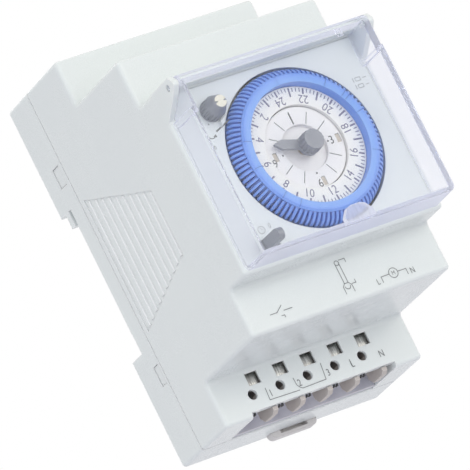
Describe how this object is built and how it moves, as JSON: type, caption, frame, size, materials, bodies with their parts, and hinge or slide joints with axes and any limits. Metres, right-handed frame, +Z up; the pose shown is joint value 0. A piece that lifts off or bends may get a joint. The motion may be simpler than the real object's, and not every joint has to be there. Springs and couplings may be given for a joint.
{
  "type": "programmable timer",
  "caption": "Rail-mounted daily time switch with a blue segment dial, minute hand, clear hinged cover and wire entries below.",
  "frame": {"origin": "middle of the rear face that seats on the rail, halfway across the case and halfway up the rail slot", "axes": "+X to the right seen from the front, +Y out of the back towards the rail, +Z up along the case"},
  "size_m": [0.054, 0.0686, 0.0914],
  "materials": {
    "housing_plastic": "fine matte moulded thermoplastic",
    "panel_plastic": "fine matte moulded thermoplastic",
    "clear_plastic": "clear moulded polycarbonate",
    "beige_plastic": "matte moulded thermoplastic",
    "blue_plastic": "satin moulded plastic",
    "white_plastic": "satin printed plastic",
    "grey_plastic": "satin moulded plastic",
    "cream_plastic": "natural acetal",
    "spring_steel": "bright spring steel",
    "plated_steel": "nickel plated steel",
    "brass_sheet": "bright brass",
    "copper": "bright copper",
    "board_green": "solder resist on laminate",
    "black_plastic": "black moulded plastic",
    "yellow_plastic": "gloss moulded case",
    "resistor_blue": "lacquer",
    "can_metal": "drawn metal can",
    "plate_metal": "rolled brass plate",
    "magnet_dark": "bonded ferrite"
  },
  "bodies": {
    "case": {"rear_housing": "housing_plastic", "front_housing": "housing_plastic", "front_panel": "panel_plastic", "face_disc": "white_plastic", "centre_bush": "cream_plastic", "terminal_insert": "beige_plastic", "terminal_clamp_1": "spring_steel", "terminal_clamp_2": "spring_steel", "terminal_clamp_3": "spring_steel", "terminal_clamp_4": "spring_steel", "terminal_clamp_5": "spring_steel", "terminal_busbars": "copper", "circuit_board": "board_green", "mains_capacitor": "yellow_plastic", "board_resistors": "resistor_blue", "control_chip": "black_plastic", "quartz_crystal": "can_metal", "reserve_cell": "can_metal", "motor_stator": "plated_steel", "coil_bobbin": "black_plastic", "coil_winding": "copper", "front_gear_plate": "plate_metal", "rear_gear_plate": "plate_metal", "plate_pillars": "brass_sheet", "plate_screws": "plated_steel", "switch_case": "black_plastic", "switch_contacts": "brass_sheet", "latch_spring": "spring_steel"},
    "cover": {"clear_cover": "clear_plastic"},
    "rail_latch": {"rail_latch": "beige_plastic"},
    "dial": {"dial_carrier": "blue_plastic", "hour_scale": "white_plastic", "switch_segments": "blue_plastic", "dial_gear": "cream_plastic"},
    "segment_1": {"segment_1": "blue_plastic"},
    "segment_2": {"segment_2": "blue_plastic"},
    "segment_3": {"segment_3": "blue_plastic"},
    "segment_4": {"segment_4": "blue_plastic"},
    "segment_5": {"segment_5": "blue_plastic"},
    "segment_6": {"segment_6": "blue_plastic"},
    "segment_7": {"segment_7": "blue_plastic"},
    "segment_8": {"segment_8": "blue_plastic"},
    "minute": {"minute_hand": "grey_plastic", "minute_arbor": "plated_steel", "minute_pinion": "cream_plastic"},
    "motion": {"motion_wheel": "cream_plastic", "motion_pinion": "cream_plastic"},
    "clutch": {"clutch_wheel": "cream_plastic", "clutch_washer": "spring_steel"},
    "transfer": {"transfer_wheel": "cream_plastic", "transfer_pinion": "cream_plastic"},
    "rotor": {"rotor_magnet": "magnet_dark", "rotor_pinion": "cream_plastic"},
    "override": {"override_knob": "grey_plastic", "override_cam": "cream_plastic"},
    "lever": {"mode_lever": "grey_plastic"},
    "feeler": {"switch_rocker": "cream_plastic", "contact_arm": "brass_sheet"}
  },
  "joints": [
    {"name": "cover_hinge", "type": "hinge", "parent": "case", "child": "cover", "pos_m": [0, -0.0582, 0.0206], "axis": [-1, 0, 0], "range_deg": [0, 115]},
    {"name": "latch_slide", "type": "slide", "parent": "case", "child": "rail_latch", "axis": [0, 0, -1], "range_m": [0, 0.0045], "stiffness_N_per_m": 400, "springref_m": -0.004, "deforming": ["latch_spring"]},
    {"name": "dial_turn", "type": "hinge", "parent": "case", "child": "dial", "pos_m": [0.0014, -0.0494, 0], "axis": [0, 1, 0], "continuous": true},
    {"name": "minute_turn", "type": "hinge", "parent": "case", "child": "minute", "pos_m": [0.0014, -0.045, 0], "axis": [0, 1, 0], "continuous": true},
    {"name": "motion_turn", "type": "hinge", "parent": "case", "child": "motion", "pos_m": [0.0014, -0.0406, -0.01625], "axis": [0, 1, 0], "continuous": true},
    {"name": "clutch_turn", "type": "hinge", "parent": "case", "child": "clutch", "pos_m": [0.0014, -0.0376, 0], "axis": [0, 1, 0], "continuous": true},
    {"name": "transfer_turn", "type": "hinge", "parent": "case", "child": "transfer", "pos_m": [0.0089, -0.0342, 0.00451], "axis": [0, 1, 0], "continuous": true},
    {"name": "rotor_turn", "type": "hinge", "parent": "case", "child": "rotor", "pos_m": [0.01328, -0.0342, 0.01208], "axis": [0, 1, 0], "continuous": true},
    {"name": "override_turn", "type": "hinge", "parent": "case", "child": "override", "pos_m": [-0.01645, -0.0515, 0.01435], "axis": [0, 1, 0], "range_deg": [0, 90]},
    {"name": "lever_slide", "type": "slide", "parent": "case", "child": "lever", "axis": [1, 0, 0], "range_m": [0, 0.0023]},
    {"name": "feeler_swing", "type": "hinge", "parent": "case", "child": "feeler", "pos_m": [-0.0212, -0.0463, 0.0082], "axis": [0, -1, 0], "range_deg": [0, 3], "stiffness_Nm_per_rad": 0.002, "springref_deg": -5.73},
    {"name": "segment_1_tilt", "type": "hinge", "parent": "dial", "child": "segment_1", "pos_m": [-0.01209, -0.0506, -0.00967], "axis": [0.5825, 0, -0.8128], "range_deg": [0, 14]},
    {"name": "segment_2_tilt", "type": "hinge", "parent": "dial", "child": "segment_2", "pos_m": [-0.0127, -0.0506, -0.00877], "axis": [0.5281, 0, -0.8492], "range_deg": [0, 14]},
    {"name": "segment_3_tilt", "type": "hinge", "parent": "dial", "child": "segment_3", "pos_m": [-0.01324, -0.0506, -0.00783], "axis": [0.4714, 0, -0.8819], "range_deg": [0, 14]},
    {"name": "segment_4_tilt", "type": "hinge", "parent": "dial", "child": "segment_4", "pos_m": [-0.01372, -0.0506, -0.00685], "axis": [0.4127, 0, -0.9109], "range_deg": [0, 14]},
    {"name": "segment_5_tilt", "type": "hinge", "parent": "dial", "child": "segment_5", "pos_m": [-0.01414, -0.0506, -0.00585], "axis": [0.3522, 0, -0.9359], "range_deg": [0, 14]},
    {"name": "segment_6_tilt", "type": "hinge", "parent": "dial", "child": "segment_6", "pos_m": [-0.01448, -0.0506, -0.00482], "axis": [0.2903, 0, -0.9569], "range_deg": [0, 14]},
    {"name": "segment_7_tilt", "type": "hinge", "parent": "dial", "child": "segment_7", "pos_m": [-0.01477, -0.0506, -0.00377], "axis": [0.2271, 0, -0.9739], "range_deg": [0, 14]},
    {"name": "segment_8_tilt", "type": "hinge", "parent": "dial", "child": "segment_8", "pos_m": [-0.01498, -0.0506, -0.0027], "axis": [0.1629, 0, -0.9866], "range_deg": [0, 14]}
  ],
  "couplings": [
    {"joint": "minute_turn", "follows": "dial_turn", "ratio": 24},
    {"joint": "motion_turn", "follows": "dial_turn", "ratio": -12},
    {"joint": "transfer_turn", "follows": "clutch_turn", "ratio": -6},
    {"joint": "rotor_turn", "follows": "clutch_turn", "ratio": 36}
  ]
}
